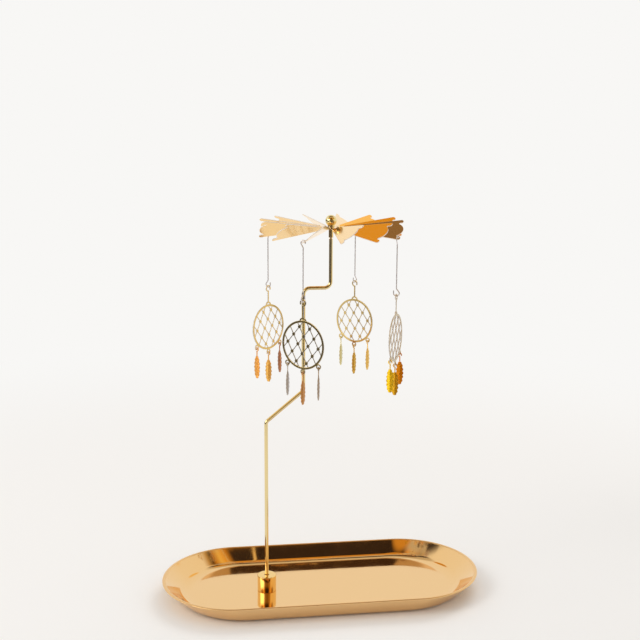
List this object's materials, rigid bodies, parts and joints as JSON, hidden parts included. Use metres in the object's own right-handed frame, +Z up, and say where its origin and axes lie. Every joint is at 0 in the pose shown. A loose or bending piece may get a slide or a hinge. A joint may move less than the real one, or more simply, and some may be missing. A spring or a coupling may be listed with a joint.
{
  "type": "candle carousel",
  "caption": "Table carousel: oval tray with a bent rod on which warm air from candles turns a fan of pitched vanes hung with netted rings and feather pendants.",
  "frame": {"origin": "middle of the tray's flat underside", "axes": "+X along the tray, away from the post; +Y across the tray; +Z up"},
  "size_m": [0.185, 0.0851, 0.2193],
  "materials": {
    "gold_mirror": "polished gold-coloured mirror",
    "gold_wire": "bright gold-coloured bar and wire",
    "gold_sheet": "satin gold-coloured etched sheet",
    "gold_feather": "warm gold-coloured thin sheet",
    "steel_wire": "bright drawn wire"
  },
  "bodies": {
    "stand": {"tray": "gold_mirror", "post_socket": "gold_mirror", "tray_screw": "steel_wire", "rod": "gold_wire"},
    "rotor": {"rotor_fan": "gold_mirror", "hub_sleeve": "gold_wire", "finial_ball": "gold_mirror"},
    "hanger_1": {"hanger_wire_1": "steel_wire"},
    "net_1": {"dreamcatcher_1": "gold_sheet"},
    "feather_1a_body": {"feather_1a": "gold_feather"},
    "feather_1b_body": {"feather_1b": "gold_feather"},
    "feather_1c_body": {"feather_1c": "gold_feather"},
    "hanger_2": {"hanger_wire_2": "steel_wire"},
    "net_2": {"dreamcatcher_2": "gold_sheet"},
    "feather_2a_body": {"feather_2a": "gold_feather"},
    "feather_2b_body": {"feather_2b": "gold_feather"},
    "feather_2c_body": {"feather_2c": "gold_feather"},
    "hanger_3": {"hanger_wire_3": "steel_wire"},
    "net_3": {"dreamcatcher_3": "gold_sheet"},
    "feather_3a_body": {"feather_3a": "gold_feather"},
    "feather_3b_body": {"feather_3b": "gold_feather"},
    "feather_3c_body": {"feather_3c": "gold_feather"},
    "hanger_4": {"hanger_wire_4": "steel_wire"},
    "net_4": {"dreamcatcher_4": "gold_sheet"},
    "feather_4a_body": {"feather_4a": "gold_feather"},
    "feather_4b_body": {"feather_4b": "gold_feather"},
    "feather_4c_body": {"feather_4c": "gold_feather"}
  },
  "joints": [
    {"name": "rotor_spin", "type": "hinge", "parent": "stand", "child": "rotor", "pos_m": [0.00425, 0, 0.2121], "axis": [0, 0, 1], "continuous": true},
    {"name": "hanger_swing_1", "type": "hinge", "parent": "rotor", "child": "hanger_1", "pos_m": [0.0238, 0.03318, 0.2077], "axis": [0.5075, 0.8616, 0], "range_deg": [-20, 20]},
    {"name": "net_swing_1", "type": "hinge", "parent": "hanger_1", "child": "net_1", "pos_m": [0.0238, 0.03318, 0.1766], "axis": [0.7157, 0.6984, 0], "range_deg": [-20, 20]},
    {"name": "feather_swing_1a", "type": "hinge", "parent": "net_1", "child": "feather_1a_body", "pos_m": [0.01694, 0.04021, 0.14187], "axis": [0.6984, -0.7157, 0], "range_deg": [-30, 30]},
    {"name": "feather_swing_1b", "type": "hinge", "parent": "net_1", "child": "feather_1b_body", "pos_m": [0.0238, 0.03318, 0.138], "axis": [0.6984, -0.7157, 0], "range_deg": [-30, 30]},
    {"name": "feather_swing_1c", "type": "hinge", "parent": "net_1", "child": "feather_1c_body", "pos_m": [0.03066, 0.02616, 0.14187], "axis": [0.6984, -0.7157, 0], "range_deg": [-30, 30]},
    {"name": "hanger_swing_2", "type": "hinge", "parent": "rotor", "child": "hanger_2", "pos_m": [-0.02893, 0.01955, 0.2077], "axis": [-0.8616, 0.5075, 0], "range_deg": [-20, 20]},
    {"name": "net_swing_2", "type": "hinge", "parent": "hanger_2", "child": "net_2", "pos_m": [-0.02893, 0.01955, 0.1766], "axis": [-0.6833, 0.7302, 0], "range_deg": [-20, 20]},
    {"name": "feather_swing_2a", "type": "hinge", "parent": "net_2", "child": "feather_2a_body", "pos_m": [-0.0361, 0.01284, 0.14187], "axis": [0.7302, 0.6833, 0], "range_deg": [-30, 30]},
    {"name": "feather_swing_2b", "type": "hinge", "parent": "net_2", "child": "feather_2b_body", "pos_m": [-0.02893, 0.01955, 0.138], "axis": [0.7302, 0.6833, 0], "range_deg": [-30, 30]},
    {"name": "feather_swing_2c", "type": "hinge", "parent": "net_2", "child": "feather_2c_body", "pos_m": [-0.02176, 0.02626, 0.14187], "axis": [0.7302, 0.6833, 0], "range_deg": [-30, 30]},
    {"name": "hanger_swing_3", "type": "hinge", "parent": "rotor", "child": "hanger_3", "pos_m": [-0.0153, -0.03318, 0.2077], "axis": [-0.5075, -0.8616, 0], "range_deg": [-20, 20]},
    {"name": "net_swing_3", "type": "hinge", "parent": "hanger_3", "child": "net_3", "pos_m": [-0.0153, -0.03318, 0.1766], "axis": [-0.6508, -0.7593, 0], "range_deg": [-20, 20]},
    {"name": "feather_swing_3a", "type": "hinge", "parent": "net_3", "child": "feather_3a_body", "pos_m": [-0.00784, -0.03958, 0.14187], "axis": [-0.7593, 0.6508, 0], "range_deg": [-30, 30]},
    {"name": "feather_swing_3b", "type": "hinge", "parent": "net_3", "child": "feather_3b_body", "pos_m": [-0.0153, -0.03318, 0.138], "axis": [-0.7593, 0.6508, 0], "range_deg": [-30, 30]},
    {"name": "feather_swing_3c", "type": "hinge", "parent": "net_3", "child": "feather_3c_body", "pos_m": [-0.02275, -0.02679, 0.14187], "axis": [-0.7593, 0.6508, 0], "range_deg": [-30, 30]},
    {"name": "hanger_swing_4", "type": "hinge", "parent": "rotor", "child": "hanger_4", "pos_m": [0.03743, -0.01955, 0.2077], "axis": [0.8616, -0.5075, 0], "range_deg": [-20, 20]},
    {"name": "net_swing_4", "type": "hinge", "parent": "hanger_4", "child": "net_4", "pos_m": [0.03743, -0.01955, 0.1766], "axis": [0.8846, -0.4664, 0], "range_deg": [-20, 20]},
    {"name": "feather_swing_4a", "type": "hinge", "parent": "net_4", "child": "feather_4a_body", "pos_m": [0.04201, -0.01086, 0.14187], "axis": [-0.4664, -0.8846, 0], "range_deg": [-30, 30]},
    {"name": "feather_swing_4b", "type": "hinge", "parent": "net_4", "child": "feather_4b_body", "pos_m": [0.03743, -0.01955, 0.138], "axis": [-0.4664, -0.8846, 0], "range_deg": [-30, 30]},
    {"name": "feather_swing_4c", "type": "hinge", "parent": "net_4", "child": "feather_4c_body", "pos_m": [0.03285, -0.02823, 0.14187], "axis": [-0.4664, -0.8846, 0], "range_deg": [-30, 30]}
  ]
}
